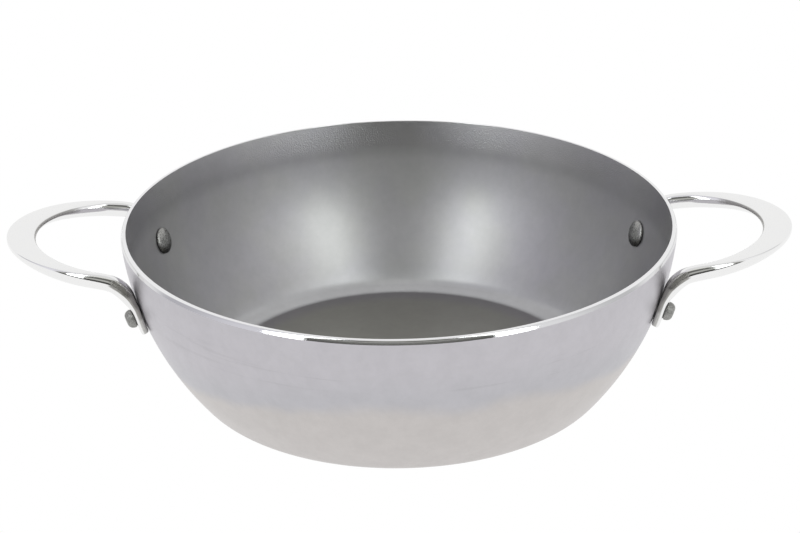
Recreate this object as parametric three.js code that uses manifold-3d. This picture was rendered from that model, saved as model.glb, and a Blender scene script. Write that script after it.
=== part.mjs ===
// Round-sided saute pan with two riveted loop handles, in millimetres with +Z up.
// The origin is the centre of the base's underside, and the handles point along +X and -X.

import * as THREE from 'three';
import { mergeVertices } from 'three/addons/utils/BufferGeometryUtils.js';
import Module from 'manifold-3d';

// Pan body
const RIM_DIAMETER = 280; // across the outside of the lip
const BODY_HEIGHT = 88;
const BASE_DIAMETER = 192; // across the flat of the base
const CORNER_RADIUS = 15; // outside curve from the base to the wall
const WALL_RADIUS = 148; // outside curve of the wall, seen from the side
const SHEET_THICKNESS = 2.5;
const LIP_ROUND = 1.5; // on the lip's outer edge

// Handles
const HANDLE_REACH = 58.3; // from the lip to the bow's outer edge
const BOW_WIDTH = 14.7;
const BOW_THICKNESS = 3.8;
const BOW_RISE = 4; // from the top of the legs beside the wall up to the top of the bow's tip
const LEG_DROP = 7.7; // from the lip down to the top of the legs beside the wall
const LEG_WIDTH = 6.8;
const LEG_HEIGHT = 8.6;
const LEG_SPLAY = 1.4; // from a rivet sideways to the centre line of its leg
const BEND_DROP = 10; // from the top of the legs down to the middle of the bend
const BEND_STAND_OFF = 4; // from the wall to the middle of the bend
const FOOT_WIDTH = 11;
const FOOT_THICKNESS = 4;
const FOOT_BELOW = 8.4; // from the rivet down to the end of the foot
const FOOT_CORNER = 1.5; // corners at the end of the foot
const SPOT_FACE_DEPTH = 0.3; // flat cut into the foot under the rivet's button

// Rivets
const RIVET_SPACING = 89.2; // between the two rivets of one handle
const RIVET_DROP = 22.4; // from the top of the legs down to the rivets
const SHANK_DIAMETER = 6;
const INNER_HEAD_DIAMETER = 13.8;
const INNER_HEAD_HEIGHT = 2.6;
const BUTTON_DIAMETER = 9.4;
const BUTTON_HEIGHT = 4;
const HEAD_EDGE = 0.6; // upright edge round both heads

// Clearances
const SEAT_GAP = 0.3; // between faces that rest on each other
const HOLE_CLEARANCE = 0.3; // round a shank in its hole and a button in its spot face

// Sections of a handle: 2 is an ellipse, and higher numbers are nearer to a rectangle
const FLAT_SECTION = 6; // foot and tip of the bow
const OVAL_SECTION = 2.4; // legs

// How the bow gives way to the legs: higher numbers keep the bow's form for longer
const SIZE_EASE = 2;
const SECTION_EASE = 4;

// Fineness of the curves
const PAN_FACETS = 80;
const CORNER_STEPS = 4;
const WALL_STEPS = 8;
const LIP_STEPS = 3;
const RIVET_FACETS = 20;
const DOME_STEPS = 4;
const SECTION_POINTS = 16;
const BOW_STATIONS = 6; // from a leg to the tip of the bow
const RINGS_PER_STATION = 3;

const wasm = await Module();
wasm.setup();

// A closed geometry as a solid that can be joined and cut
function toSolid(geometry) {
  const bare = geometry.clone();
  bare.deleteAttribute('normal');
  bare.deleteAttribute('uv');
  const merged = mergeVertices(bare);
  const corners = merged.index.array;
  const triangles = [];
  for (let i = 0; i < corners.length; i += 3) {
    const [a, b, c] = corners.slice(i, i + 3);
    if (a !== b && b !== c && c !== a) triangles.push(a, b, c);
  }
  return new wasm.Manifold(
    new wasm.Mesh({
      numProp: 3,
      vertProperties: new Float32Array(merged.attributes.position.array),
      triVerts: new Uint32Array(triangles),
    }),
  );
}

function toGeometry(solid) {
  const mesh = solid.getMesh();
  const geometry = new THREE.BufferGeometry();
  geometry.setAttribute('position', new THREE.BufferAttribute(mesh.vertProperties, 3));
  geometry.setIndex(new THREE.BufferAttribute(mesh.triVerts, 1));
  geometry.computeVertexNormals();
  return geometry;
}

// A profile of radius and height, turned round the Z axis
function turned(profile, facets) {
  return new THREE.LatheGeometry(profile, facets).rotateX(Math.PI / 2);
}

// Points of an arc in a profile, with angles measured from straight down
function arc(centre, radius, from, to, steps) {
  const points = [];
  for (let i = 0; i <= steps; i++) {
    const angle = from + ((to - from) * i) / steps;
    points.push(new THREE.Vector2(centre.x + radius * Math.sin(angle), centre.y - radius * Math.cos(angle)));
  }
  return points;
}

// The outside is two arcs that touch: the corner at the edge of the base, then the wall up to the lip
const rim = new THREE.Vector2(RIM_DIAMETER / 2, BODY_HEIGHT - LIP_ROUND);
const cornerCentre = new THREE.Vector2(BASE_DIAMETER / 2, CORNER_RADIUS);
const wallCentre = centreOfWall();
const cornerEnd = Math.atan2(cornerCentre.x - wallCentre.x, wallCentre.y - cornerCentre.y);

// The wall's arc passes through the lip and touches the corner's arc from outside it
function centreOfWall() {
  const chord = rim.clone().sub(cornerCentre);
  const reach = WALL_RADIUS - CORNER_RADIUS;
  const along = (reach ** 2 - WALL_RADIUS ** 2 + chord.lengthSq()) / (2 * chord.length());
  const inward = new THREE.Vector2(-chord.y, chord.x).normalize();
  const across = Math.sqrt(reach ** 2 - along ** 2);
  return cornerCentre.clone().addScaledVector(chord.normalize(), along).addScaledVector(inward, across);
}

function wallAngle(height, offset) {
  return Math.acos((wallCentre.y - height) / (WALL_RADIUS + offset));
}

// The profile of the outside moved out by an offset, from the axis up to a height
function shellProfile(offset, height) {
  return [
    new THREE.Vector2(0, -offset),
    ...arc(cornerCentre, CORNER_RADIUS + offset, 0, cornerEnd, CORNER_STEPS),
    ...arc(wallCentre, WALL_RADIUS + offset, cornerEnd, wallAngle(height, offset), WALL_STEPS).slice(1),
  ];
}

// The rivets' places on the wall
const legTop = BODY_HEIGHT - LEG_DROP;
const rivetAngle = wallAngle(legTop - RIVET_DROP, 0);
const rivetRadius = wallCentre.x + WALL_RADIUS * Math.sin(rivetAngle);
const rivetAzimuth = Math.asin(RIVET_SPACING / 2 / rivetRadius);

// A point in the upright plane through a rear rivet, at an angle along the wall's arc and a distance out from it
function outFromWall(angle, standOff) {
  const radius = wallCentre.x + (WALL_RADIUS + standOff) * Math.sin(angle);
  const height = wallCentre.y - (WALL_RADIUS + standOff) * Math.cos(angle);
  return new THREE.Vector3(radius * Math.cos(rivetAzimuth), radius * Math.sin(rivetAzimuth), height);
}

function mirrored(vector) {
  return new THREE.Vector3(vector.x, -vector.y, vector.z);
}

const rivetPoint = outFromWall(rivetAngle, 0);
const rivetAxis = outFromWall(rivetAngle, SHEET_THICKNESS).sub(rivetPoint).normalize();
const rivetPlaces = [
  { end: 'front', point: mirrored(rivetPoint), axis: mirrored(rivetAxis) },
  { end: 'rear', point: rivetPoint, axis: rivetAxis },
];

function standAlong(object, place) {
  object.quaternion.setFromUnitVectors(new THREE.Vector3(0, 0, 1), place.axis);
  object.position.copy(place.point);
  return object;
}

// A round cutter on a rivet's axis, between two distances out from the wall
function cutterAt(place, radius, from, to) {
  const cylinder = new THREE.CylinderGeometry(radius, radius, to - from, RIVET_FACETS);
  cylinder.rotateX(Math.PI / 2).translate(0, 0, (from + to) / 2);
  const holder = standAlong(new THREE.Object3D(), place);
  holder.updateMatrix();
  return toSolid(cylinder.applyMatrix4(holder.matrix));
}

const holeRadius = SHANK_DIAMETER / 2 + HOLE_CLEARANCE;
const spotFace = SEAT_GAP + FOOT_THICKNESS - SPOT_FACE_DEPTH; // out from the wall

function panGeometry() {
  const outside = shellProfile(0, rim.y);
  const lipCentre = new THREE.Vector2(rim.x - LIP_ROUND, rim.y);
  const lip = arc(lipCentre, LIP_ROUND, Math.PI / 2, Math.PI, LIP_STEPS).slice(1);
  const inside = shellProfile(-SHEET_THICKNESS, BODY_HEIGHT).reverse();
  let shell = toSolid(turned([...outside, ...lip, ...inside], PAN_FACETS));
  for (const degrees of [0, 180]) {
    for (const place of rivetPlaces) {
      const hole = cutterAt(place, holeRadius, -2 * SHEET_THICKNESS, SHEET_THICKNESS);
      shell = shell.subtract(hole.rotate([0, 0, degrees]));
    }
  }
  return toGeometry(shell);
}

// One handle's sections from the end of the rear foot to the tip of the bow.
// Each has its middle, the level direction across it, and its width, height and kind of section.
function handleStations() {
  const { lerp } = THREE.MathUtils;
  const station = (middle, across, width, height, section) => ({
    middle,
    across,
    size: new THREE.Vector3(width, height, section),
  });

  // A foot's sections are centred on its seat, where the wall cuts the inner half away
  const acrossFoot = new THREE.Vector3(-Math.sin(rivetAzimuth), Math.cos(rivetAzimuth), 0);
  const footAt = (angle, width) =>
    station(outFromWall(angle, SEAT_GAP), acrossFoot, width, 2 * FOOT_THICKNESS, FLAT_SECTION);
  const footEnd = rivetAngle - FOOT_BELOW / WALL_RADIUS;
  const bendAngle = wallAngle(legTop - BEND_DROP, 0);
  const bend = outFromWall(bendAngle, BEND_STAND_OFF);
  const stations = [
    footAt(footEnd, FOOT_WIDTH - 2 * FOOT_CORNER),
    footAt(footEnd + FOOT_CORNER / WALL_RADIUS, FOOT_WIDTH),
    footAt(rivetAngle, FOOT_WIDTH),
    footAt((rivetAngle + bendAngle) / 2, FOOT_WIDTH),
    station(bend, acrossFoot, (FOOT_WIDTH + LEG_WIDTH) / 2, LEG_HEIGHT, OVAL_SECTION),
  ];

  // The bow is half an ellipse whose middle is under the lip
  const depth = HANDLE_REACH - BOW_WIDTH / 2;
  const halfWidth = RIVET_SPACING / 2 + LEG_SPLAY;
  for (let i = BOW_STATIONS; i >= 0; i--) {
    const turn = (Math.PI / 2) * (i / BOW_STATIONS);
    const out = Math.cos(turn);
    const aside = Math.sin(turn);
    const width = lerp(BOW_WIDTH, LEG_WIDTH, aside ** SIZE_EASE);
    const height = lerp(BOW_THICKNESS, LEG_HEIGHT, aside ** SIZE_EASE);
    const section = lerp(FLAT_SECTION, OVAL_SECTION, aside ** SECTION_EASE);
    const top = legTop + BOW_RISE * out;
    const middle = new THREE.Vector3(rim.x + depth * out, halfWidth * aside, top - height / 2);
    const across = new THREE.Vector3(halfWidth * out, depth * aside, 0).normalize();
    stations.push(station(middle, across, width, height, section));
  }
  return stations;
}

function sectionPoints(middle, across, up, size) {
  const points = [];
  const bulge = (value) => Math.sign(value) * Math.abs(value) ** (2 / size.z);
  for (let i = 0; i < SECTION_POINTS; i++) {
    const angle = (2 * Math.PI * i) / SECTION_POINTS;
    const point = middle.clone();
    point.addScaledVector(across, (bulge(Math.cos(angle)) * size.x) / 2);
    point.addScaledVector(up, (bulge(Math.sin(angle)) * size.y) / 2);
    points.push(point);
  }
  return points;
}

// A skin over a row of sections, with a flat cap at each end
function loft(rings) {
  const positions = rings.flat().flatMap((point) => point.toArray());
  const count = SECTION_POINTS;
  const faces = [];
  for (let ring = 0; ring < rings.length - 1; ring++) {
    for (let i = 0; i < count; i++) {
      const a = ring * count + i;
      const b = ring * count + ((i + 1) % count);
      faces.push(a, b, a + count, b, b + count, a + count);
    }
  }
  const last = (rings.length - 1) * count;
  for (let i = 1; i < count - 1; i++) {
    faces.push(0, i + 1, i, last, last + i, last + i + 1);
  }
  const geometry = new THREE.BufferGeometry();
  geometry.setAttribute('position', new THREE.Float32BufferAttribute(positions, 3));
  geometry.setIndex(faces);
  return geometry;
}

function handleGeometry() {
  const half = handleStations();
  const otherHalf = half
    .slice(0, -1)
    .reverse()
    .map(({ middle, across, size }) => ({ middle: mirrored(middle), across: mirrored(across), size }));
  const stations = [...half, ...otherHalf];
  const curveOf = (key) => new THREE.CatmullRomCurve3(stations.map((station) => station[key]));
  const middles = curveOf('middle');
  const acrosses = curveOf('across');
  const sizes = curveOf('size');
  const rings = [];
  const steps = (stations.length - 1) * RINGS_PER_STATION;
  for (let i = 0; i <= steps; i++) {
    const t = i / steps;
    const across = acrosses.getPoint(t).normalize();
    const up = middles.getTangent(t).cross(across).normalize();
    rings.push(sectionPoints(middles.getPoint(t), across, up, sizes.getPoint(t)));
  }

  const seatTop = BODY_HEIGHT + SEAT_GAP;
  const seat = turned([...shellProfile(SEAT_GAP, seatTop), new THREE.Vector2(0, seatTop)], PAN_FACETS);
  let casting = toSolid(loft(rings)).subtract(toSolid(seat));
  for (const place of rivetPlaces) {
    casting = casting.subtract(cutterAt(place, holeRadius, -SHEET_THICKNESS, 2 * spotFace));
    const clearButton = BUTTON_DIAMETER / 2 + HOLE_CLEARANCE;
    casting = casting.subtract(cutterAt(place, clearButton, spotFace, spotFace + BUTTON_HEIGHT));
  }
  return toGeometry(casting);
}

// A rivet on its own axis: zero is the outside of the wall, and the button is on the positive side
function rivetGeometry() {
  const headRadius = INNER_HEAD_DIAMETER / 2;
  const shankRadius = SHANK_DIAMETER / 2;
  const buttonRadius = BUTTON_DIAMETER / 2;
  const headSeat = -SHEET_THICKNESS - SEAT_GAP;
  const headCrown = headSeat - INNER_HEAD_HEIGHT;
  const wallSag = headRadius ** 2 / (2 * rivetRadius); // the hollow wall falls away from the head's rim
  const headRim = headSeat - wallSag;
  const buttonSeat = spotFace + SEAT_GAP;
  const dome = (radius, edge, crown) => {
    const points = [];
    for (let i = 0; i <= DOME_STEPS; i++) {
      const angle = (Math.PI / 2) * (i / DOME_STEPS);
      points.push(new THREE.Vector2(radius * Math.cos(angle), edge + (crown - edge) * Math.sin(angle)));
    }
    return points;
  };
  const profile = [
    ...dome(headRadius, headRim - HEAD_EDGE, headCrown).reverse(),
    new THREE.Vector2(headRadius, headRim),
    new THREE.Vector2(shankRadius, headSeat),
    new THREE.Vector2(shankRadius, buttonSeat),
    new THREE.Vector2(buttonRadius, buttonSeat),
    ...dome(buttonRadius, buttonSeat + HEAD_EDGE, buttonSeat + BUTTON_HEIGHT),
  ];
  return toGeometry(toSolid(turned(profile, RIVET_FACETS)));
}

const carbonSteel = new THREE.MeshStandardMaterial({ color: 0x9a9a9e, roughness: 0.42, metalness: 0.9 });
const polishedStainless = new THREE.MeshStandardMaterial({ color: 0xe4e4e2, roughness: 0.1, metalness: 1 });
const rivetSteel = new THREE.MeshStandardMaterial({ color: 0x7c7d7a, roughness: 0.55, metalness: 0.9 });

function named(name, geometry, material) {
  const mesh = new THREE.Mesh(geometry, material);
  mesh.name = name;
  return mesh;
}

const pan = new THREE.Group();
pan.add(named('pan_body', panGeometry(), carbonSteel));

const handle = handleGeometry();
const rivet = rivetGeometry();
const sides = [
  { side: 'right', turn: 0, ends: { front: 'front', rear: 'rear' } },
  { side: 'left', turn: Math.PI, ends: { front: 'rear', rear: 'front' } },
];
for (const { side, turn, ends } of sides) {
  const group = new THREE.Group();
  group.rotation.z = turn;
  group.add(named(`${side}_handle`, handle, polishedStainless));
  for (const place of rivetPlaces) {
    group.add(standAlong(named(`rivet_${side}_${ends[place.end]}`, rivet, rivetSteel), place));
  }
  pan.add(group);
}

export default pan;
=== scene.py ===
import math
import bmesh
import bpy
from mathutils import Matrix, Vector


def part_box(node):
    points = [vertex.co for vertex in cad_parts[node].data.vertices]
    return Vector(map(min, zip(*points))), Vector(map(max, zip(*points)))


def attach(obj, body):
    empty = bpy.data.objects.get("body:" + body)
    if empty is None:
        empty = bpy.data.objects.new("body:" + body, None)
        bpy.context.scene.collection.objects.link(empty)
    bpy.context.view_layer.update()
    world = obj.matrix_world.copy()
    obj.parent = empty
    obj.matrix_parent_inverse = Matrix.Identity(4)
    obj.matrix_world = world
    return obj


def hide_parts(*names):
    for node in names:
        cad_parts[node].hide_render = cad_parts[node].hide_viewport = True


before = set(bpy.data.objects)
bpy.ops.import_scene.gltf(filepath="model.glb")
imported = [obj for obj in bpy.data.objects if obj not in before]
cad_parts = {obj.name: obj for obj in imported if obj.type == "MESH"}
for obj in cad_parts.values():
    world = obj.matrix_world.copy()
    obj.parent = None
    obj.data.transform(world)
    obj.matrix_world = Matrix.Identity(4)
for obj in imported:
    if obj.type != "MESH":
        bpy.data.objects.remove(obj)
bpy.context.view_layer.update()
scene = bpy.context.scene
mm = 0.001
print("frame loaded:", len(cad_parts), "solids")


# camera at the place that the photo was taken from
cameraView = {
    "place": (0.2, -1134.2, 577.6),  # in millimetres
    "turn": 0.4,  # degrees round the pan
    "lookDown": 24.465,  # degrees below level
    "roll": -0.985,  # degrees
    "lens": 110.09,
}


def makeCamera():
    lens = bpy.data.cameras.new("photoCamera")
    lens.lens = cameraView["lens"]
    lens.sensor_width = 36.0
    lens.clip_start = 0.05
    lens.clip_end = 50.0
    camera = bpy.data.objects.new("photoCamera", lens)
    turn = Matrix.Rotation(math.radians(cameraView["turn"]), 4, "Z")
    place = Matrix.Translation(Vector(cameraView["place"]) * mm)
    tilt = Matrix.Rotation(math.radians(90.0 - cameraView["lookDown"]), 4, "X")
    roll = Matrix.Rotation(math.radians(cameraView["roll"]), 4, "Z")
    camera.matrix_world = turn @ place @ tilt @ roll
    scene.collection.objects.link(camera)
    scene.camera = camera


makeCamera()
print("camera placed")


# small helpers for node trees
def put(tree, kind, wires=None, **settings):
    node = tree.nodes.new(kind)
    for name, value in settings.items():
        setattr(node, name, value)
    for name, value in (wires or {}).items():
        if isinstance(value, bpy.types.NodeSocket):
            tree.links.new(value, node.inputs[name])
        else:
            node.inputs[name].default_value = value
    return node


def calc(tree, operation, first, second=0.0):
    return put(tree, "ShaderNodeMath", {0: first, 1: second}, operation=operation).outputs[0]


def blend(tree, share, first, second):
    wires = {"Factor": share, "A": first, "B": second}
    node = tree.nodes.new("ShaderNodeMix")
    node.data_type = "RGBA"
    for name, value in wires.items():
        socket = next(s for s in node.inputs if s.name == name and s.enabled)
        if isinstance(value, bpy.types.NodeSocket):
            tree.links.new(value, socket)
        else:
            socket.default_value = value
    return next(s for s in node.outputs if s.enabled)


def ramp(tree, value, low, high, toLow=0.0, toHigh=1.0):
    wires = {"Value": value, "From Min": low, "From Max": high, "To Min": toLow, "To Max": toHigh}
    return put(tree, "ShaderNodeMapRange", wires, interpolation_type="SMOOTHSTEP").outputs[0]


def grain(tree, vector, scale, detail=2.0, roughness=0.5):
    wires = {"Vector": vector, "Scale": scale, "Detail": detail, "Roughness": roughness}
    return put(tree, "ShaderNodeTexNoise", wires).outputs[0]


def between(tree, share, first, second):
    return ramp(tree, share, 0.0, 1.0, first, second)


def scaled(tree, colour, share):
    wires = {0: colour, "Scale": share}
    return put(tree, "ShaderNodeVectorMath", wires, operation="SCALE").outputs[0]


def stretched(tree, place, factors):
    wires = {0: place, 1: factors}
    return put(tree, "ShaderNodeVectorMath", wires, operation="MULTIPLY").outputs[0]


def lengthOf(tree, spot):
    return put(tree, "ShaderNodeVectorMath", {0: spot}, operation="LENGTH").outputs["Value"]


def split(tree, place):
    return put(tree, "ShaderNodeSeparateXYZ", {0: place}).outputs


def attribute(tree, name):
    return put(tree, "ShaderNodeAttribute", attribute_name=name).outputs["Fac"]


def startMaterial(name):
    material = bpy.data.materials.new(name)
    material.use_nodes = True
    tree = material.node_tree
    tree.nodes.clear()
    output = put(tree, "ShaderNodeOutputMaterial")
    shader = put(tree, "ShaderNodeBsdfPrincipled")
    tree.links.new(shader.outputs["BSDF"], output.inputs["Surface"])
    place = put(tree, "ShaderNodeTexCoord").outputs["Object"]
    return material, tree, shader, place


def startTree(name, inputs):
    tree = bpy.data.node_groups.new(name, "GeometryNodeTree")
    tree.interface.new_socket("Geometry", in_out="INPUT", socket_type="NodeSocketGeometry")
    for label, (kind, value) in inputs.items():
        tree.interface.new_socket(label, in_out="INPUT", socket_type="NodeSocket" + kind)
    tree.interface.new_socket("Geometry", in_out="OUTPUT", socket_type="NodeSocketGeometry")
    given = put(tree, "NodeGroupInput").outputs
    return tree, given


# points closer than these become one
profileWeld = 0.002 * mm
skinWeld = 0.01 * mm


def welded(tree, geometry, distance):
    wires = {"Geometry": geometry, "Distance": distance}
    return put(tree, "GeometryNodeMergeByDistance", wires).outputs[0]


# a profile in the XY plane, X the radius and Y the height, turned round the Z axis
def turnProfile(tree, pieces, facets, pathRadius):
    joined = put(tree, "GeometryNodeJoinGeometry")
    for piece in reversed(pieces):
        tree.links.new(piece, joined.inputs[0])
    wire = put(tree, "GeometryNodeCurveToMesh", {"Curve": joined.outputs[0]})
    closed = welded(tree, wire.outputs[0], profileWeld)
    profile = put(tree, "GeometryNodeMeshToCurve", {"Mesh": closed})
    shift = {
        "Geometry": profile.outputs[0],
        "Translation": (-pathRadius, 0.0, 0.0),
        "Scale": (1.0, -1.0, 1.0),
    }
    shifted = put(tree, "GeometryNodeTransform", shift)
    path = put(tree, "GeometryNodeCurvePrimitiveCircle", {"Resolution": facets, "Radius": pathRadius})
    wires = {"Curve": path.outputs[0], "Profile Curve": shifted.outputs[0]}
    skin = put(tree, "GeometryNodeCurveToMesh", wires)
    return welded(tree, skin.outputs[0], skinWeld)


def arcPiece(tree, radius, start, sweep, centre, points, scale=(1.0, 1.0, 1.0)):
    wires = {"Resolution": points, "Radius": radius, "Start Angle": start, "Sweep Angle": sweep}
    arc = put(tree, "GeometryNodeCurveArc", wires)
    place = {"Geometry": arc.outputs[0], "Translation": centre, "Scale": scale}
    return put(tree, "GeometryNodeTransform", place).outputs[0]


def linePiece(tree, start, end):
    return put(tree, "GeometryNodeCurvePrimitiveLine", {"Start": start, "End": end}).outputs[0]


def marked(tree, piece, name, value):
    wires = {"Geometry": piece, "Name": name, "Value": value}
    kind = {"data_type": "FLOAT", "domain": "POINT"}
    return put(tree, "GeometryNodeStoreNamedAttribute", wires, **kind).outputs[0]


def vector(tree, x, y, z=0.0):
    return put(tree, "ShaderNodeCombineXYZ", {0: x, 1: y, 2: z}).outputs[0]


def finishTree(tree, geometry, material):
    real = put(tree, "GeometryNodeRealizeInstances", {"Geometry": geometry})
    dressed = put(tree, "GeometryNodeSetMaterial", {"Geometry": real.outputs[0], "Material": material})
    put(tree, "NodeGroupOutput", {"Geometry": dressed.outputs[0]})


# runs a tree on a starting mesh and gives the result as a plain piece
def bakeTree(name, mesh, tree, values, material, sharpAngle=40.0):
    source = bpy.data.objects.new(name + "Source", mesh)
    scene.collection.objects.link(source)
    modifier = source.modifiers.new(tree.name, "NODES")
    modifier.node_group = tree
    for item in tree.interface.items_tree:
        if item.in_out == "INPUT" and item.name in values:
            modifier[item.identifier] = values[item.name]
    graph = bpy.context.evaluated_depsgraph_get()
    plain = bpy.data.meshes.new_from_object(source.evaluated_get(graph), depsgraph=graph)
    source.modifiers.remove(modifier)
    bpy.data.objects.remove(source)
    plain.name = name
    if not plain.materials:
        plain.materials.append(material)
    return addPiece(name, plain, sharpAngle)


def addPiece(name, mesh, sharpAngle):
    build = bmesh.new()
    build.from_mesh(mesh)
    bmesh.ops.recalc_face_normals(build, faces=build.faces)
    build.to_mesh(mesh)
    build.free()
    mesh.shade_smooth()
    mesh.set_sharp_from_angle(angle=math.radians(sharpAngle))
    piece = bpy.data.objects.new(name, mesh)
    scene.collection.objects.link(piece)
    return piece


# pan: one pressed shell of bare steel
panSizes = {
    "baseRadius": 96.0,  # flat of the base
    "cornerRadius": 15.0,
    "wallRadius": 148.0,
    "sheet": 2.7,
    "wallRound": 1.5,  # the rim is widest this far below the lip's top
    "lipRadius": 1.5,  # polished outer rounding
    "lipBevel": 1.25,  # the straight slope below it, which meets the wall in a faint edge
    "lipLean": 21.5,  # degrees that the slope faces up
    "lipInnerRadius": 0.2,
    "facets": 288,
    "wallPoints": 44,
    "cornerPoints": 14,
    "lipPoints": 13,
    "edgeStep": 0.12,  # last step of the wall before the lip, and first one of the slope
    "pathRadius": 10.0,  # of the circle that carries the profile round
    "sharpAngle": 24.0,  # degrees, steeper edges are drawn sharp
}
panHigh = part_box("pan_body")[1]
rimRadius = panHigh.x
rimHeight = panHigh.z
cornerCentre = Vector((panSizes["baseRadius"], panSizes["cornerRadius"])) * mm
wallRadius = panSizes["wallRadius"] * mm


def findWallCentre():
    rim = Vector((rimRadius, rimHeight - panSizes["wallRound"] * mm))
    chord = rim - cornerCentre
    reach = wallRadius - cornerCentre.y
    along = (reach ** 2 - wallRadius ** 2 + chord.length_squared) / (2.0 * chord.length)
    inward = Vector((-chord.y, chord.x)).normalized()
    return cornerCentre + chord.normalized() * along + inward * math.sqrt(reach ** 2 - along ** 2)


wallCentre = findWallCentre()
cornerEnd = math.atan2(cornerCentre.x - wallCentre.x, wallCentre.y - cornerCentre.y)


def wallAngle(height, radius):
    return math.acos((wallCentre.y - height) / radius)


def wallSpot(angle, standOff, azimuth):
    reach = wallRadius + standOff
    radius = wallCentre.x + reach * math.sin(angle)
    height = wallCentre.y - reach * math.cos(angle)
    return Vector((radius * math.cos(azimuth), radius * math.sin(azimuth), height))


panFinish = {
    "upperTint": (0.532, 0.518, 0.547, 1.0),  # outside, above the line where the tints meet
    "darkTint": (0.492, 0.487, 0.513, 1.0),  # just above it
    "lowerTint": (0.553, 0.528, 0.517, 1.0),  # below it
    "toneLine": 0.050,  # height in front, metres
    "toneFade": (0.007, 0.003),  # where the lower tint gives way, below and above the line
    "darkWidth": 0.026,  # where the dark tint has given way to the upper one, above the line
    "toneFall": 1.4,  # how it drops towards the sides
    "toneTilt": 0.05,  # how it climbs from left to right
    "toneWander": 0.018,  # how far it wavers
    "streakHeight": 0.064,  # faint drawing marks round the outside
    "streakReach": (0.004, 0.010),  # above and below it they fade from here to here
    "streakStretch": (14.0, 14.0, 420.0),  # grain per metre, long along the wall and thin
    "streakDepth": 0.06,  # how much darker they are
    "wallTint": ((0.431, 0.426, 0.442, 1.0), (0.437, 0.435, 0.434, 1.0)),  # inside, two in clouds
    "cornerSheenTint": (0.475, 0.475, 0.482, 1.0),  # painted reflection: lighter where the wall turns into the floor
    "cornerSheenEdge": (0.104, 0.110),  # radius from where to where it gives way to the wall's tint
    "floorTint": (0.329, 0.324, 0.298, 1.0),
    "floorEdgeTint": (0.302, 0.292, 0.300, 1.0),  # its outermost part
    "floorEdgeReach": (0.014, 0.003),  # inwards of the corner's foot, from none to full
    "floorRadius": 0.0950,  # the corner's foot, metres
    "floorBlur": 0.0013,  # half the width of the floor's soft edge
    "cornerLean": 16.0,  # degrees, in the bump where the corner meets the floor
    "leanReach": (0.0014, 0.0066),  # inwards and outwards of the corner's foot
    "leanWidth": 0.0065,  # the whole rise is what this lean gives over this width
    "blotchDepth": 0.022,  # share of lighter and darker in soft blotches
    "mottleDepth": 0.015,  # and in fine ones
    "lipTint": (0.83, 0.83, 0.835, 1.0),  # level top
    "lipSideTint": (0.72, 0.72, 0.725, 1.0),  # outer rounding and slope
    "lipSideFall": (0.3, 0.7),  # it sets in this far below the top, in millimetres
    "bandHeight": 0.0714,  # from here up the inside is peened round the rim
    "bandShade": 0.91,  # a faint darker line along its lower edge
    "bandEdge": 0.006,  # half the width of that line
    "bandStart": (0.002, 0.006),  # below and above, where the peening sets in
    "bandGrain": 1500.0,  # its dimples, per metre
    "bandDepth": 0.16,  # how deep they are, in millimetres
    "bandFlare": 9.7,  # degrees that the bump leans the band back at the rim
    "gritDepth": 0.012,  # of the fine grain everywhere, in millimetres
    "outerRoughness": (0.37, 0.42),
    "wallRoughness": (0.385, 0.47),  # inside, low and high on the wall
    "wallHeights": (0.036, 0.066),  # what low and high mean here
    "floorRoughness": 0.42,
    "bandRoughness": 0.31,
    "lipRoughness": 0.05,
}


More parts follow.
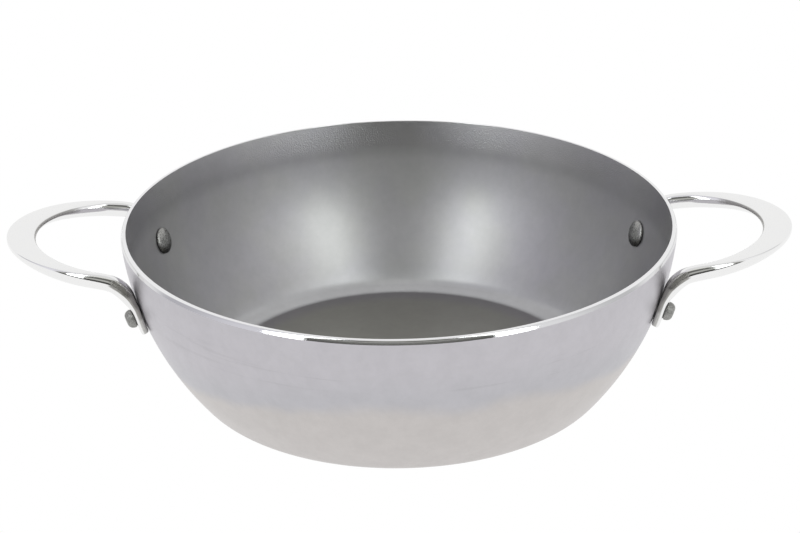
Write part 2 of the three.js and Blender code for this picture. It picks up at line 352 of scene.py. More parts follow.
def makePanSteel():
    material, tree, shader, place = startMaterial("bareCarbonSteel")
    inside = attribute(tree, "inside")
    lip = ramp(tree, attribute(tree, "lip"), 0.3, 0.6)
    parts = split(tree, place)
    radius = lengthOf(tree, stretched(tree, place, (1.0, 1.0, 0.0)))
    cloud = grain(tree, place, 22.0, 3.0, 0.55)
    blots = grain(tree, place, 110.0, 3.0, 0.6)
    mottle = grain(tree, place, 320.0, 3.0, 0.6)
    fine = grain(tree, place, 1300.0, 2.0, 0.6)

    # outside: two tints meet along a faint wavering line, darker just above it
    square = calc(tree, "MULTIPLY", parts[0], parts[0])
    fall = calc(tree, "MULTIPLY", square, panFinish["toneFall"])
    tilt = calc(tree, "MULTIPLY", parts[0], -panFinish["toneTilt"])
    wander = calc(tree, "MULTIPLY", calc(tree, "SUBTRACT", cloud, 0.5), panFinish["toneWander"])
    toneHeight = calc(tree, "ADD", calc(tree, "ADD", parts[2], fall), calc(tree, "ADD", wander, tilt))
    line = panFinish["toneLine"]
    fadeBelow, fadeAbove = panFinish["toneFade"]
    light = ramp(tree, toneHeight, line, line + panFinish["darkWidth"])
    above = blend(tree, light, panFinish["darkTint"], panFinish["upperTint"])
    past = ramp(tree, toneHeight, line - fadeBelow, line + fadeAbove)
    outerTint = blend(tree, past, panFinish["lowerTint"], above)

    # thin marks that run round the wall
    drawn = grain(tree, stretched(tree, place, panFinish["streakStretch"]), 1.0, 2.0, 0.5)
    marks = ramp(tree, drawn, 0.58, 0.70)
    off = calc(tree, "ABSOLUTE", calc(tree, "SUBTRACT", parts[2], panFinish["streakHeight"]))
    streakNear, streakFar = panFinish["streakReach"]
    streak = calc(tree, "MULTIPLY", marks, ramp(tree, off, streakFar, streakNear))
    outerTint = scaled(tree, outerTint, between(tree, streak, 1.0, 1.0 - panFinish["streakDepth"]))

    # inside: a darker floor, and round it a corner tinted lighter as painted reflection
    sheenLow, sheenHigh = panFinish["cornerSheenEdge"]
    cornerSheenShare = ramp(tree, radius, sheenHigh, sheenLow)
    floorEdge = panFinish["floorRadius"]
    blur = panFinish["floorBlur"]
    floorShare = ramp(tree, radius, floorEdge + blur, floorEdge - blur)
    fringeFar, fringeNear = panFinish["floorEdgeReach"]
    fringe = ramp(tree, radius, floorEdge - fringeFar, floorEdge - fringeNear)
    floorTint = blend(tree, fringe, panFinish["floorTint"], panFinish["floorEdgeTint"])
    innerTint = blend(tree, ramp(tree, cloud, 0.38, 0.62), *panFinish["wallTint"])
    # the corner's lighter tint is painted reflection
    innerTint = blend(tree, cornerSheenShare, innerTint, panFinish["cornerSheenTint"])
    innerTint = blend(tree, floorShare, innerTint, floorTint)

    # a faint line under the peened band, and blotches and specks all over
    bandStart = panFinish["bandHeight"]
    bandEdge = panFinish["bandEdge"]
    below = ramp(tree, parts[2], bandStart - bandEdge, bandStart, 1.0, panFinish["bandShade"])
    shade = ramp(tree, parts[2], bandStart, bandStart + bandEdge, below, 1.0)
    shade = between(tree, inside, 1.0, shade)
    deep = panFinish["blotchDepth"]
    speckle = ramp(tree, blots, 0.3, 0.7, 1.0 - deep, 1.0 + deep)
    deep = panFinish["mottleDepth"]
    speckle = calc(tree, "MULTIPLY", speckle, ramp(tree, mottle, 0.25, 0.75, 1.0 - deep, 1.0 + deep))
    body = blend(tree, inside, outerTint, innerTint)
    body = scaled(tree, body, calc(tree, "MULTIPLY", shade, speckle))
    sideHigh, sideLow = panFinish["lipSideFall"]
    lipSide = ramp(tree, parts[2], rimHeight - sideHigh * mm, rimHeight - sideLow * mm)
    lipTint = blend(tree, lipSide, panFinish["lipTint"], panFinish["lipSideTint"])
    tree.links.new(blend(tree, lip, body, lipTint), shader.inputs["Base Color"])

    # bump: dimples in the band, a lean of the band towards the rim, and a fine grain everywhere
    bandBelow, bandAbove = panFinish["bandStart"]
    band = ramp(tree, parts[2], bandStart - bandBelow, bandStart + bandAbove)
    band = calc(tree, "MULTIPLY", inside, band)
    dimples = calc(tree, "SUBTRACT", grain(tree, place, panFinish["bandGrain"], 1.5, 0.5), 0.5)
    depth = between(tree, band, 0.0, panFinish["bandDepth"] * mm)
    rise = calc(tree, "MAXIMUM", calc(tree, "SUBTRACT", parts[2], bandStart), 0.0)
    climb = calc(tree, "MULTIPLY", inside, rise)
    flare = math.tan(math.radians(panFinish["bandFlare"])) / (2.0 * (rimHeight - bandStart))
    lean = calc(tree, "MULTIPLY", calc(tree, "MULTIPLY", climb, climb), -flare)
    grit = calc(tree, "MULTIPLY", fine, panFinish["gritDepth"] * mm)
    height = calc(tree, "ADD", calc(tree, "MULTIPLY", dimples, depth), grit)
    height = calc(tree, "ADD", height, lean)

    # the bump also lifts the corner's foot from the floor at an angle
    leanIn, leanOut = panFinish["leanReach"]
    footRise = panFinish["leanWidth"] * math.tan(math.radians(panFinish["cornerLean"]))
    foot = ramp(tree, radius, floorEdge - leanIn, floorEdge + leanOut, 0.0, footRise)
    height = calc(tree, "ADD", height, calc(tree, "MULTIPLY", foot, inside))

    rough = ramp(tree, fine, 0.3, 0.7, *panFinish["outerRoughness"])
    wallRough = ramp(tree, parts[2], *panFinish["wallHeights"], *panFinish["wallRoughness"])
    wallRough = between(tree, floorShare, wallRough, panFinish["floorRoughness"])
    rough = between(tree, inside, rough, wallRough)
    rough = between(tree, band, rough, panFinish["bandRoughness"])
    rough = between(tree, lip, rough, panFinish["lipRoughness"])
    tree.links.new(rough, shader.inputs["Roughness"])
    shader.inputs["Metallic"].default_value = 1.0
    bump = put(tree, "ShaderNodeBump", {"Strength": 1.0, "Distance": 1.0, "Height": height})
    tree.links.new(bump.outputs[0], shader.inputs["Normal"])
    return material


def makePan(material):
    inputs = {
        "Base radius": ("Float", cornerCentre.x),
        "Corner radius": ("Float", cornerCentre.y),
        "Wall radius": ("Float", wallRadius),
        "Wall centre": ("Vector", (wallCentre.x, wallCentre.y, 0.0)),
        "Corner sweep": ("Float", cornerEnd),
        "Sheet": ("Float", panSizes["sheet"] * mm),
        "Lip radius": ("Float", panSizes["lipRadius"] * mm),
        "Lip lean": ("Float", math.radians(panSizes["lipLean"])),
        "Lip inner radius": ("Float", panSizes["lipInnerRadius"] * mm),
        "Edge step": ("Float", panSizes["edgeStep"] * mm / wallRadius),
        "Outer wall end": ("Float", 0.0),
        "Inner wall end": ("Float", 0.0),
        "Lip foot": ("Vector", (0.0, 0.0, 0.0)),
        "Lip knee": ("Vector", (0.0, 0.0, 0.0)),
        "Lip shoulder": ("Vector", (0.0, 0.0, 0.0)),
        "Lip centre": ("Vector", (0.0, 0.0, 0.0)),
        "Lip inner centre": ("Vector", (0.0, 0.0, 0.0)),
        "Facets": ("Int", panSizes["facets"]),
        "Steel": ("Material", material),
    }
    values = {label: value for label, (kind, value) in inputs.items()}

    # the lip climbs from the wall along its slope and turns into the level top
    lean = values["Lip lean"]
    slope = Vector((-math.sin(lean), math.cos(lean), 0.0)) * panSizes["lipBevel"] * mm
    rounding = Vector((math.cos(lean), math.sin(lean), 0.0)) * values["Lip radius"]
    footHeight = rimHeight - values["Lip radius"] + rounding.y - slope.y
    outerEnd = wallAngle(footHeight, wallRadius)
    foot = Vector((wallCentre.x + wallRadius * math.sin(outerEnd), footHeight, 0.0))
    lipCentre = foot + slope - rounding
    values["Outer wall end"] = outerEnd
    values["Lip foot"] = tuple(foot)
    values["Lip knee"] = tuple(foot + slope.normalized() * panSizes["edgeStep"] * mm)
    values["Lip shoulder"] = tuple(foot + slope)
    values["Lip centre"] = tuple(lipCentre)

    # a small inner rounding touches the top and the wall
    innerReach = wallRadius - values["Sheet"] + values["Lip inner radius"]
    innerEnd = wallAngle(rimHeight - values["Lip inner radius"], innerReach)
    innerX = wallCentre.x + innerReach * math.sin(innerEnd)
    values["Inner wall end"] = innerEnd
    values["Lip inner centre"] = (innerX, rimHeight - values["Lip inner radius"], 0.0)
    print("level top of the lip:", round((lipCentre.x - innerX) / mm, 3), "mm")

    tree, given = startTree("turnedPan", inputs)
    quarter = math.pi / 2.0
    base = given["Base radius"]
    sheet = given["Sheet"]
    corner = given["Corner radius"]
    wall = given["Wall radius"]
    turn = given["Corner sweep"]
    wallStart = calc(tree, "SUBTRACT", turn, quarter)
    cornerPlace = vector(tree, base, corner)
    wallPoints = panSizes["wallPoints"]
    cornerPoints = panSizes["cornerPoints"]
    lipPoints = panSizes["lipPoints"]
    edgeStep = given["Edge step"]
    outerStop = calc(tree, "SUBTRACT", given["Outer wall end"], edgeStep)
    innerStop = calc(tree, "SUBTRACT", given["Inner wall end"], edgeStep)
    outerSweep = calc(tree, "SUBTRACT", outerStop, turn)
    innerSweep = calc(tree, "SUBTRACT", innerStop, turn)
    outerLast = calc(tree, "SUBTRACT", outerStop, quarter)
    innerLast = calc(tree, "SUBTRACT", innerStop, quarter)
    lipTurn = calc(tree, "SUBTRACT", quarter, given["Lip lean"])
    innerWall = calc(tree, "SUBTRACT", wall, sheet)
    innerCorner = calc(tree, "SUBTRACT", corner, sheet)
    outerTop = split(tree, given["Lip centre"])
    innerTop = split(tree, given["Lip inner centre"])
    topHeight = calc(tree, "ADD", outerTop[1], given["Lip radius"])
    outside = [
        linePiece(tree, (0.0, 0.0, 0.0), vector(tree, base, 0.0)),
        arcPiece(tree, corner, -quarter, turn, cornerPlace, cornerPoints),
        arcPiece(tree, wall, wallStart, outerSweep, given["Wall centre"], wallPoints),
        arcPiece(tree, wall, outerLast, edgeStep, given["Wall centre"], 2),
    ]
    lipRadius = given["Lip radius"]
    innerRadius = given["Lip inner radius"]
    innerCentre = given["Lip inner centre"]
    lip = [
        linePiece(tree, given["Lip foot"], given["Lip knee"]),
        linePiece(tree, given["Lip knee"], given["Lip shoulder"]),
        arcPiece(tree, lipRadius, given["Lip lean"], lipTurn, given["Lip centre"], lipPoints),
        linePiece(tree, vector(tree, outerTop[0], topHeight), vector(tree, innerTop[0], topHeight)),
        arcPiece(tree, innerRadius, quarter, given["Inner wall end"], innerCentre, 6),
    ]
    inside = [
        arcPiece(tree, innerWall, innerLast, edgeStep, given["Wall centre"], 2),
        arcPiece(tree, innerWall, wallStart, innerSweep, given["Wall centre"], wallPoints),
        arcPiece(tree, innerCorner, -quarter, turn, cornerPlace, cornerPoints),
        linePiece(tree, vector(tree, base, sheet), vector(tree, 0.0, sheet)),
    ]
    pieces = outside + [marked(tree, piece, "lip", 1.0) for piece in lip]
    pieces += [marked(tree, piece, "inside", 1.0) for piece in inside]
    skin = turnProfile(tree, pieces, given["Facets"], panSizes["pathRadius"] * mm)
    finishTree(tree, skin, given["Steel"])
    start = bpy.data.meshes.new("panStart")
    return bakeTree("pan", start, tree, values, material, panSizes["sharpAngle"])


pan = makePan(makePanSteel())
print("pan turned:", len(pan.data.polygons), "faces")


# handles: cast loops with a flat bow, two oval legs and two riveted feet
handleSizes = {
    "bowWidth": 14.7,
    "bowThickness": 3.8,
    "bowRise": 4.0,  # from the legs' tops to the bow's top
    "legDrop": 7.7,  # from the lip to the legs' tops
    "legWidth": 6.8,
    "legHeight": 8.6,
    "legRound": 0.47,  # share of a leg's width that the rounding of each side takes
    "legSplay": 1.4,  # each leg lies this much further from the middle than its rivet
    "footWidth": 11.0,
    "footThickness": 4.0,
    "footBelow": 8.4,  # from the rivet to the foot's end
    "seatGap": 0.3,  # between foot and wall
    "crispEdge": 0.7,  # round the outside of the bow's flat top
    "innerBevel": (1.3, 2.0),  # round its inside: how wide and how deep
    "bowUnderEdge": 3.0,  # round the bow's underside: how wide
    "bowUnderDepth": 3.6,  # and how deep at most
    "leastSide": 0.3,  # straight part left between the bow's upper and lower rounding
    "bendEdge": (2.8, 3.3),  # round the bend, at the foot and at the leg
    "footInnerEdge": 1.1,  # beside the wall
    "footOuterEdge": 0.9,
    "bowSteps": 18,
    "smoothing": 2,
}
rivetSizes = {
    "spacing": 89.2,
    "drop": 22.4,  # below the legs' tops
    "shankRadius": 3.0,
    "headRadius": 6.9,  # inside the pan
    "headHeight": 2.6,
    "buttonRadius": 4.7,  # outside
    "buttonHeight": 4.0,
    "buttonFlat": 0.45,  # flat share of its end
    "buttonNeck": 0.88,  # share of its radius that touches the foot
    "edge": 0.6,  # height of a head's rim and of a button's sloping foot
    "spotFace": 4.0,  # out from the wall
    "facets": 48,
    "domePoints": 12,
    "pathRadius": 1.0,  # of the circle that carries the profile round
}
legTop = rimHeight - handleSizes["legDrop"] * mm
rivetAngle = wallAngle(legTop - rivetSizes["drop"] * mm, wallRadius)
rivetReach = wallCentre.x + wallRadius * math.sin(rivetAngle)
rivetAzimuth = math.asin(rivetSizes["spacing"] * mm / 2.0 / rivetReach)


# how far a point lies outside the wall's outer face
def wallDistance(tree, place):
    parts = split(tree, place)
    radius = lengthOf(tree, vector(tree, parts[0], parts[1]))
    out = calc(tree, "SUBTRACT", radius, wallCentre.x)
    up = calc(tree, "SUBTRACT", parts[2], wallCentre.y)
    return calc(tree, "SUBTRACT", lengthOf(tree, vector(tree, out, up)), wallRadius)


stainlessFinish = {
    "polish": ((0.84, 0.84, 0.842, 1.0), (0.86, 0.858, 0.85, 1.0)),  # two tints in clouds
    "groundShadeTint": (0.50, 0.495, 0.48, 1.0),  # the feet's sides near the wall: unpolished, and darkened as painted shade
    "dullShadeTint": (0.34, 0.333, 0.316, 1.0),  # painted dark reflection on the sides of the bends and feet, which are also less polished
    "bowDullShade": 0.53,  # the bow's inner edge, where 0.3 is polished and 0.6 is as dull and as darkened as the bends
    "seamShadowTint": (0.07, 0.07, 0.07, 1.0),  # painted shadow in the gap close to the wall
    "groundShadeDepth": (2.7, 3.5),  # from the wall, in millimetres
    "seamShadowDepth": (0.5, 1.1),
    "polishRoughness": (0.05, 0.10),
    "dullRoughness": (0.28, 0.40),
    "waveStrength": 0.08,  # soft waves in the polish
    "waveDepth": 0.4,  # in millimetres
}


def makeStainless():
    material, tree, shader, place = startMaterial("polishedStainless")
    cloud = grain(tree, place, 60.0, 2.0, 0.5)
    fine = grain(tree, place, 1400.0, 2.0, 0.6)
    distance = wallDistance(tree, place)
    groundShadeLow, groundShadeHigh = stainlessFinish["groundShadeDepth"]
    seamShadowLow, seamShadowHigh = stainlessFinish["seamShadowDepth"]
    groundShade = ramp(tree, distance, groundShadeHigh * mm, groundShadeLow * mm)
    seamShadow = ramp(tree, distance, seamShadowHigh * mm, seamShadowLow * mm)
    colour = blend(tree, cloud, *stainlessFinish["polish"])
    # painted dark reflection on the duller sides of the bends and feet and on the bow's inner edge
    dullShade = ramp(tree, attribute(tree, "dullShadeEdge"), 0.3, 0.6)
    # painted shade darkens the feet's sides near the wall
    colour = blend(tree, groundShade, colour, stainlessFinish["groundShadeTint"])
    colour = blend(tree, dullShade, colour, stainlessFinish["dullShadeTint"])
    # painted shadow: near black in the gap next to the wall
    colour = blend(tree, seamShadow, colour, stainlessFinish["seamShadowTint"])
    tree.links.new(colour, shader.inputs["Base Color"])
    shader.inputs["Metallic"].default_value = 1.0
    polished = ramp(tree, fine, 0.3, 0.7, *stainlessFinish["polishRoughness"])
    satin = ramp(tree, fine, 0.3, 0.7, *stainlessFinish["dullRoughness"])
    worn = calc(tree, "MAXIMUM", groundShade, dullShade)
    tree.links.new(between(tree, worn, polished, satin), shader.inputs["Roughness"])
    strength = stainlessFinish["waveStrength"]
    waves = {"Strength": strength, "Distance": stainlessFinish["waveDepth"] * mm, "Height": cloud}
    tree.links.new(put(tree, "ShaderNodeBump", waves).outputs[0], shader.inputs["Normal"])
    return material


# a section with four rounded corners, X across and Y up, each corner as wide and as deep as given
def cornerSection(width, height, upper, inner, lower):
    points = []
    corners = ((1, 1, upper), (-1, 1, inner), (-1, -1, lower), (1, -1, lower))
    for quarter, (sideX, sideY, (wide, deep)) in enumerate(corners):
        wide = min(wide, 0.48 * width)
        centreX = sideX * (width / 2.0 - wide)
        centreY = sideY * (height / 2.0 - deep)
        for step in (0.0, 45.0, 90.0):
            turn = math.radians(90.0 * quarter + step)
            points.append((centreX + wide * math.cos(turn), centreY + deep * math.sin(turn)))
        if sideX == sideY:
            points.append((0.0, sideY * height / 2.0))  # middle of the top and bottom
        else:
            above = upper if sideX > 0 else inner
            points.append((sideX * width / 2.0, (lower[1] - above[1]) / 2.0))  # middle of a side
    return points


def mixed(first, second, share):
    return first + (second - first) * share


# sections from the end of the rear foot to the tip of the bow
def handleHalf():
    size = {name: value * mm for name, value in handleSizes.items() if isinstance(value, float)}
    acrossFoot = Vector((-math.sin(rivetAzimuth), math.cos(rivetAzimuth), 0.0))
    rows = []

    # the foot lies on the wall: height, width, inner and outer face, inner and outer corner,
    # in millimetres, and how dull and darkened by painted reflection its sides are
    foot = handleSizes["footWidth"]
    thick = handleSizes["footThickness"] + handleSizes["seatGap"]
    seat = handleSizes["seatGap"]
    inner = handleSizes["footInnerEdge"]
    outer = handleSizes["footOuterEdge"]
    footBottom = (legTop / mm) - rivetSizes["drop"] - handleSizes["footBelow"] * math.sin(rivetAngle)
    footRows = [
        (footBottom, foot - 2.6, seat + 0.6, thick - 0.7, inner, outer, 0.0),
        (footBottom + 0.25, foot - 1.4, seat + 0.25, thick - 0.3, inner, outer, 0.0),
        (footBottom + 1.0, foot - 0.2, seat, thick, inner, outer, 0.0),
        (footBottom + 2.4, foot, seat, thick, inner, outer, 0.0),
        (footBottom + 5.5, foot, seat, thick, inner, outer, 0.1),
        (footBottom + 9.0, foot, seat, thick, inner, outer, 0.5),
        (61.0, foot, seat, thick, inner, outer, 0.8),
        (63.4, foot - 0.15, seat, thick + 0.25, inner, 1.1, 1.0),
        (65.6, foot - 0.55, seat, thick + 1.1, 2.2, 1.6, 1.0),
        (67.6, foot - 1.1, seat + 0.05, thick + 2.3, 2.5, 2.2, 1.0),
    ]
    for height, width, low, high, lowEdge, highEdge, mark in footRows:
        angle = wallAngle(height * mm, wallRadius)
        middle = wallSpot(angle, (low + high) / 2.0 * mm, rivetAzimuth)
        deep = 0.45 * (high - low)
        upper = (lowEdge * mm, min(lowEdge, deep) * mm)
        lower = (highEdge * mm, min(highEdge, deep) * mm)
        thickness = (high - low) * mm
        rows.append((middle, acrossFoot, width * mm, thickness, upper, upper, lower, (mark, mark)))

    # the bow is half an ellipse in plan
    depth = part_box("right_handle")[1].x - rimRadius - size["bowWidth"] / 2.0
    halfWidth = rivetSizes["spacing"] * mm / 2.0 + size["legSplay"]
    legEdge = size["legWidth"] * handleSizes["legRound"]
    bow = []
    for step in range(3, handleSizes["bowSteps"] + 1):
        turn = math.pi / 2.0 * (1.0 - step / handleSizes["bowSteps"])
        out = math.cos(turn)
        aside = math.sin(turn)
        width = mixed(size["bowWidth"], size["legWidth"], aside ** 2)
        height = mixed(size["bowThickness"], size["legHeight"], aside ** 2)
        crisp = mixed(size["crispEdge"], legEdge, aside ** 8)
        side = mixed(size["bowUnderEdge"], legEdge, aside ** 3)
        top = legTop + size["bowRise"] * out
        middle = Vector((rimRadius + depth * out, halfWidth * aside, top - height / 2.0))
        across = Vector((halfWidth * out, depth * aside, 0.0)).normalized()
        bevel = [mixed(edge * mm, legEdge, aside ** 8) for edge in handleSizes["innerBevel"]]
        room = height - max(crisp, bevel[1]) - size["leastSide"]
        under = min(room, size["bowUnderDepth"])
        fade = min(max((0.92 - aside) / 0.12, 0.0), 1.0)  # none along the legs
        # painted dark reflection, with a duller finish, along the bow's inner edge
        mark = stainlessFinish["bowDullShade"] * fade
        bow.append((middle, across, width, height, (crisp, crisp), bevel, (side, under), (mark, 0.0)))

    # the bend from the foot to the leg: place, width and height in millimetres, and how dull
    # and darkened by painted reflection its sides are
    bendRows = [
        ((133.7, 47.6, 70.0), 9.2, 7.6, 1.0),
        ((136.4, 46.95, 72.7), 8.4, 8.1, 1.0),
        ((139.4, 46.3, 74.8), 7.7, 8.4, 0.8),
        ((142.7, 45.85, 76.0), 7.2, 8.55, 0.2),
    ]
    for step, (place, width, height, mark) in enumerate(bendRows):
        share = (step + 1.0) / (len(bendRows) + 1.0)
        across = acrossFoot.lerp(bow[0][1], share).normalized()
        edge = mixed(*handleSizes["bendEdge"], share) * mm
        corners = ((edge, edge),) * 3
        rows.append((Vector(place) * mm, across, width * mm, height * mm) + corners + ((mark, mark),))
    return rows + bow


def flipped(v):
    return Vector((v.x, -v.y, v.z))


# points of a section on the side towards the handle's middle, and on the other side
innerPoints = (5, 6, 7)
outerPoints = (15, 0, 1)


def makeHandle(name, side, material):
    half = handleHalf()
    otherHalf = [(flipped(row[0]), flipped(row[1])) + row[2:] for row in half[-2::-1]]
    rows = half + otherHalf
    build = bmesh.new()
    dullShadeEdge = build.verts.layers.float.new("dullShadeEdge")
    rings = []
    for i, (middle, across, width, height, upper, inner, lower, marks) in enumerate(rows):
        before = rows[max(i - 1, 0)][0]
        after = rows[min(i + 1, len(rows) - 1)][0]
        up = (after - before).cross(across).normalized()
        ring = []
        for j, (x, y) in enumerate(cornerSection(width, height, upper, inner, lower)):
            spot = middle + across * x + up * y
            ring.append(build.verts.new((side * spot.x, side * spot.y, spot.z)))
            if j in innerPoints:
                ring[-1][dullShadeEdge] = marks[0]
            if j in outerPoints:
                ring[-1][dullShadeEdge] = marks[1]
        rings.append(ring)
    for first, second in zip(rings, rings[1:]):
        for i in range(len(first)):
            j = (i + 1) % len(first)
            build.faces.new((first[i], first[j], second[j], second[i]))
    build.faces.new(rings[0])
    build.faces.new(rings[-1])
    bmesh.ops.recalc_face_normals(build, faces=build.faces)
    mesh = bpy.data.meshes.new(name)
    build.to_mesh(mesh)
    build.free()
    mesh.materials.append(material)
    piece = addPiece(name, mesh, 180.0)
    smooth = piece.modifiers.new("smooth", "SUBSURF")
    smooth.levels = handleSizes["smoothing"]
    smooth.render_levels = handleSizes["smoothing"]
    return piece


stainless = makeStainless()
rightHandle = makeHandle("rightHandle", 1.0, stainless)
leftHandle = makeHandle("leftHandle", -1.0, stainless)
print("handles lofted:", len(rightHandle.data.polygons), "faces each")


# rivets: one through each foot, a low wide head inside the pan and a flat-ended button outside
rivetFinish = {
    "darkTint": (0.25, 0.25, 0.24, 1.0),
    "lightTint": (0.40, 0.40, 0.385, 1.0),
    "lowShadeTint": (0.07, 0.069, 0.065, 1.0),  # painted shade on the lower part of the heads inside the pan
    "lowShadeFall": (59.5, 54.0),  # from where and to where it sets in, millimetres above the table
    "seamShadowTint": (0.05, 0.05, 0.05, 1.0),  # painted shadow where a head meets the wall
    "seamShadowDepth": (0.25, 0.75),  # millimetres
    "grain": 1100.0,  # per metre
    "grainDepth": 0.12,  # millimetres
    "grainStrength": 0.5,
    "roughness": (0.24, 0.34),
    "buttonMatte": 0.26,  # more roughness outside the pan
}


def makeRivetSteel():
    material, tree, shader, place = startMaterial("matteRivetSteel")
    coarse = grain(tree, place, rivetFinish["grain"], 3.0, 0.65)
    speck = ramp(tree, coarse, 0.36, 0.64)
    depth = calc(tree, "SUBTRACT", -panSizes["sheet"] * mm, wallDistance(tree, place))  # into the pan
    seamShadowLow, seamShadowHigh = rivetFinish["seamShadowDepth"]
    within = ramp(tree, depth, -0.3 * mm, 0.0)
    seamShadow = calc(tree, "MULTIPLY", ramp(tree, depth, seamShadowHigh * mm, seamShadowLow * mm), within)
    lowShadeHigh, lowShadeLow = rivetFinish["lowShadeFall"]
    height = split(tree, place)[2]
    low = calc(tree, "MULTIPLY", ramp(tree, height, lowShadeHigh * mm, lowShadeLow * mm), within)
    colour = blend(tree, speck, rivetFinish["darkTint"], rivetFinish["lightTint"])
    # painted shade darkens the lower part of the heads inside the pan
    colour = blend(tree, low, colour, rivetFinish["lowShadeTint"])
    # painted shadow: near black where a head meets the wall
    colour = blend(tree, seamShadow, colour, rivetFinish["seamShadowTint"])
    tree.links.new(colour, shader.inputs["Base Color"])
    shader.inputs["Metallic"].default_value = 1.0
    matte = ramp(tree, depth, -1.0 * mm, -4.0 * mm, 0.0, rivetFinish["buttonMatte"])
    rough = calc(tree, "ADD", matte, ramp(tree, coarse, 0.3, 0.7, *rivetFinish["roughness"]))
    tree.links.new(rough, shader.inputs["Roughness"])
    strength = rivetFinish["grainStrength"]
    pits = {"Strength": strength, "Distance": rivetFinish["grainDepth"] * mm, "Height": coarse}
    tree.links.new(put(tree, "ShaderNodeBump", pits).outputs[0], shader.inputs["Normal"])
    return material


def rivetPoints():
    spots = []
    for turned in (0.0, math.pi):
        for azimuth in (-rivetAzimuth, rivetAzimuth):
            spot = wallSpot(rivetAngle, 0.0, turned + azimuth)
            axis = wallSpot(rivetAngle, 1.0, turned + azimuth) - spot
            spots.append((spot, axis.normalized()))
    return spots


def makeRivets(material):
    spots = rivetPoints()
    mesh = bpy.data.meshes.new("rivetPlaces")
    mesh.from_pydata([spot for spot, axis in spots], [], [])
    axes = mesh.attributes.new("rivetAxis", "FLOAT_VECTOR", "POINT")
    for item, (spot, axis) in zip(axes.data, spots):
        item.vector = axis
    sheet = panSizes["sheet"]
    gap = handleSizes["seatGap"]
    inputs = {
        "Shank radius": ("Float", rivetSizes["shankRadius"] * mm),
        "Head radius": ("Float", rivetSizes["headRadius"] * mm),
        "Head height": ("Float", rivetSizes["headHeight"] * mm),
        "Button radius": ("Float", rivetSizes["buttonRadius"] * mm),
        "Button height": ("Float", rivetSizes["buttonHeight"] * mm),
        "Button flat": ("Float", rivetSizes["buttonFlat"]),
        "Button neck": ("Float", rivetSizes["buttonNeck"]),
        "Edge": ("Float", rivetSizes["edge"] * mm),
        "Head seat": ("Float", -(sheet + gap) * mm),
        "Button seat": ("Float", (rivetSizes["spotFace"] + gap) * mm),
        "Facets": ("Int", rivetSizes["facets"]),
        "Steel": ("Material", material),
    }
    values = {label: value for label, (kind, value) in inputs.items()}
    tree, given = startTree("turnedRivets", inputs)
    quarter = math.pi / 2.0
    seat = given["Head seat"]
    grip = given["Button seat"]
    edge = given["Edge"]
    headRim = calc(tree, "SUBTRACT", seat, edge)
    headDome = calc(tree, "SUBTRACT", edge, given["Head height"])
    buttonRim = calc(tree, "ADD", grip, edge)
    buttonDome = calc(tree, "SUBTRACT", given["Button height"], edge)
    neck = calc(tree, "MULTIPLY", given["Button radius"], given["Button neck"])
    corners = [
        vector(tree, given["Head radius"], headRim),
        vector(tree, given["Head radius"], seat),
        vector(tree, given["Shank radius"], seat),
        vector(tree, given["Shank radius"], grip),
        vector(tree, neck, grip),
        vector(tree, given["Button radius"], buttonRim),
    ]
    headScale = vector(tree, given["Head radius"], headDome, 1.0)
    flat = calc(tree, "MULTIPLY", given["Button radius"], given["Button flat"])
    buttonScale = vector(tree, calc(tree, "SUBTRACT", given["Button radius"], flat), buttonDome, 1.0)
    buttonTop = calc(tree, "ADD", buttonRim, buttonDome)
    points = rivetSizes["domePoints"]
    pieces = [arcPiece(tree, 1.0, 0.0, quarter, vector(tree, 0.0, headRim), points, headScale)]
    pieces += [linePiece(tree, first, second) for first, second in zip(corners, corners[1:])]
    pieces += [arcPiece(tree, 1.0, 0.0, quarter, vector(tree, flat, buttonRim), points, buttonScale)]
    pieces += [linePiece(tree, vector(tree, flat, buttonTop), vector(tree, 0.0, buttonTop))]
    rivet = turnProfile(tree, pieces, given["Facets"], rivetSizes["pathRadius"] * mm)
    wires = {"Name": "rivetAxis"}
    axis = put(tree, "GeometryNodeInputNamedAttribute", wires, data_type="FLOAT_VECTOR")
    aim = put(tree, "FunctionNodeAlignRotationToVector", {"Vector": axis.outputs[0]}, axis="Z")
    wires = {"Points": given["Geometry"], "Instance": rivet, "Rotation": aim.outputs[0]}
    placed = put(tree, "GeometryNodeInstanceOnPoints", wires)
    finishTree(tree, placed.outputs[0], given["Steel"])
    return bakeTree("rivets", mesh, tree, values, material)


rivets = makeRivets(makeRivetSteel())
print("rivets placed:", len(rivets.data.polygons), "faces")


# studio: a pale glowing floor, a white backdrop, a dark room round the camera and two soft boxes
studio = {
    "floorSize": 6.0,  # metres
    "floorDrop": 0.0002,  # below the base
    "floorGlow": 1.0,
    "backGlow": 0.98,
    "sideGlow": 0.96,  # beside the soft boxes
    "sideFarGlow": 0.68,  # straight to the sides
    "leftShare": 0.86,  # of the right side's glow
    "frontLowGlow": 0.05,
    "frontGlow": 0.53,
    "frontHighShare": 0.27,  # of it, further up
    "topGlow": 0.80,
    "frontTint": (1.0, 1.0, 0.95, 1.0),
    "leftTint": (1.0, 0.99, 1.06, 1.0),
    "rightTint": (1.0, 1.0, 1.01, 1.0),
    "besideSpan": (44.0, 56.0),  # degrees from the camera's side, from the front to the sides
    "sideSpan": (60.0, 98.0),  # from beside the boxes to straight sideways
    "behindSpan": (98.0, 116.0),  # from the sides to the back
    "frontRise": (0.20, 0.48),  # upward part of a ray, from low in front to the front's full glow
    "frontFall": (0.50, 0.70),  # from there to further up
    "topRise": (0.90, 0.97),  # and to the top
    "middleSpan": (-0.3, 0.3),  # sideways part of a ray, from left to right
    "boxTint": (0.965, 1.0, 0.995),
    "boxGlow": 3.78,
    "boxLeftShare": 1.06,  # of the right one's glow
    "boxAzimuth": 41.0,  # degrees from the camera's side
    "boxDistance": 0.63,  # metres
    "boxWidth": 0.166,
    "boxLow": 0.20,
    "boxHigh": 1.5,
}
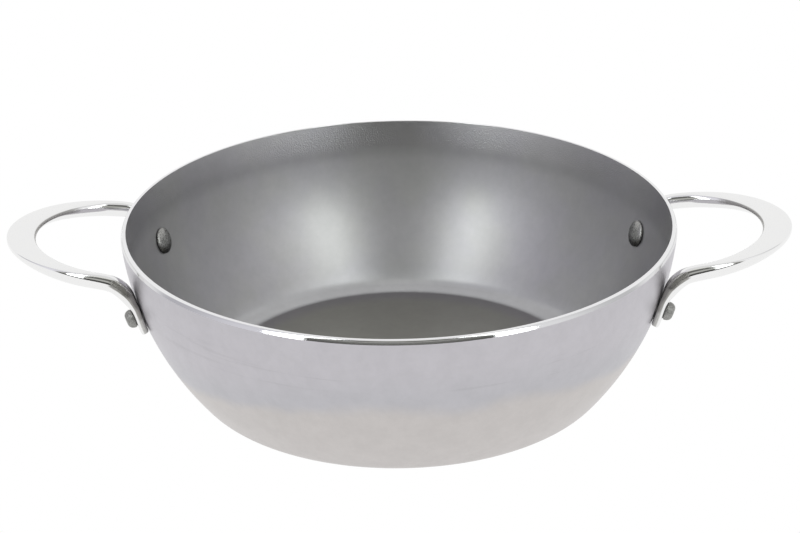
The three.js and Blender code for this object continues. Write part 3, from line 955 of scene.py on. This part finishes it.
white = (1.0, 1.0, 1.0, 1.0)


def makeFloor():
    half = studio["floorSize"] / 2.0
    corners = [(-half, -half, 0.0), (half, -half, 0.0), (half, half, 0.0), (-half, half, 0.0)]
    mesh = bpy.data.meshes.new("studioFloor")
    mesh.from_pydata(corners, [], [(0, 1, 2, 3)])
    material = bpy.data.materials.new("paleFloor")
    material.use_nodes = True
    tree = material.node_tree
    tree.nodes.clear()
    glow = put(tree, "ShaderNodeEmission", {"Color": white, "Strength": studio["floorGlow"]})
    put(tree, "ShaderNodeOutputMaterial", {"Surface": glow.outputs[0]})
    mesh.materials.append(material)
    floor = bpy.data.objects.new("studioFloor", mesh)
    floor.location.z = -studio["floorDrop"]
    scene.collection.objects.link(floor)


def makeLight():
    world = bpy.data.worlds.new("studioWorld")
    world.use_nodes = True
    tree = world.node_tree
    tree.nodes.clear()
    parts = split(tree, put(tree, "ShaderNodeTexCoord").outputs["Generated"])
    towardsCamera = calc(tree, "MULTIPLY", parts[1], -1.0)
    azimuth = calc(tree, "ARCTAN2", calc(tree, "ABSOLUTE", parts[0]), towardsCamera)

    def turned(span, first=0.0, last=1.0):
        return ramp(tree, azimuth, math.radians(span[0]), math.radians(span[1]), first, last)

    # how strongly each direction glows
    front = ramp(tree, parts[2], *studio["frontRise"], studio["frontLowGlow"], studio["frontGlow"])
    further = ramp(tree, parts[2], *studio["frontFall"], 1.0, studio["frontHighShare"])
    front = calc(tree, "MULTIPLY", front, further)
    aside = turned(studio["sideSpan"], studio["sideGlow"], studio["sideFarGlow"])
    leftLess = ramp(tree, parts[0], *studio["middleSpan"], studio["leftShare"], 1.0)
    aside = calc(tree, "MULTIPLY", aside, leftLess)
    beside = turned(studio["besideSpan"])
    behind = turned(studio["behindSpan"])
    around = between(tree, beside, front, aside)
    around = between(tree, behind, around, studio["backGlow"])
    overhead = ramp(tree, parts[2], *studio["topRise"])
    glow = between(tree, overhead, around, studio["topGlow"])

    # and in which tint
    rightward = ramp(tree, parts[0], *studio["middleSpan"])
    sideTint = blend(tree, rightward, studio["leftTint"], studio["rightTint"])
    tint = blend(tree, beside, studio["frontTint"], sideTint)
    tint = blend(tree, behind, tint, white)

    # the backdrop itself is plain white on every side
    seen = put(tree, "ShaderNodeLightPath").outputs["Is Camera Ray"]
    colour = blend(tree, seen, scaled(tree, tint, glow), white)
    shell = put(tree, "ShaderNodeBackground", {"Color": colour, "Strength": 1.0})
    put(tree, "ShaderNodeOutputWorld", {"Surface": shell.outputs[0]})
    scene.world = world
    for hand in (-1.0, 1.0):
        angle = math.radians(studio["boxAzimuth"])
        reach = studio["boxDistance"]
        middle = (studio["boxLow"] + studio["boxHigh"]) / 2.0
        place = Vector((hand * reach * math.sin(angle), -reach * math.cos(angle), middle))
        lamp = bpy.data.lights.new("softBox", "AREA")
        lamp.shape = "RECTANGLE"
        lamp.color = studio["boxTint"]
        lamp.size = studio["boxWidth"]
        lamp.size_y = studio["boxHigh"] - studio["boxLow"]
        share = studio["boxLeftShare"] if hand < 0.0 else 1.0
        lamp.energy = share * studio["boxGlow"] * math.pi * lamp.size * lamp.size_y
        box = bpy.data.objects.new("softBox", lamp)
        aim = Vector((place.x, place.y, 0.0)).to_track_quat("Z", "Y").to_matrix().to_4x4()
        box.matrix_world = Matrix.Translation(place) @ aim
        scene.collection.objects.link(box)


makeFloor()
makeLight()
scene.view_settings.view_transform = "Standard"
print("studio lit")

rivetNodes = ["rivet_left_front", "rivet_left_rear", "rivet_right_front", "rivet_right_rear"]
for piece, slot, nodes in (
    (pan, "carbon_steel", ["pan_body"]),
    (rightHandle, "polished_stainless", ["right_handle"]),
    (leftHandle, "polished_stainless", ["left_handle"]),
    (rivets, "rivet_steel", rivetNodes),
):
    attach(piece, "root")
    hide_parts(*nodes)

print("pieces dressed")
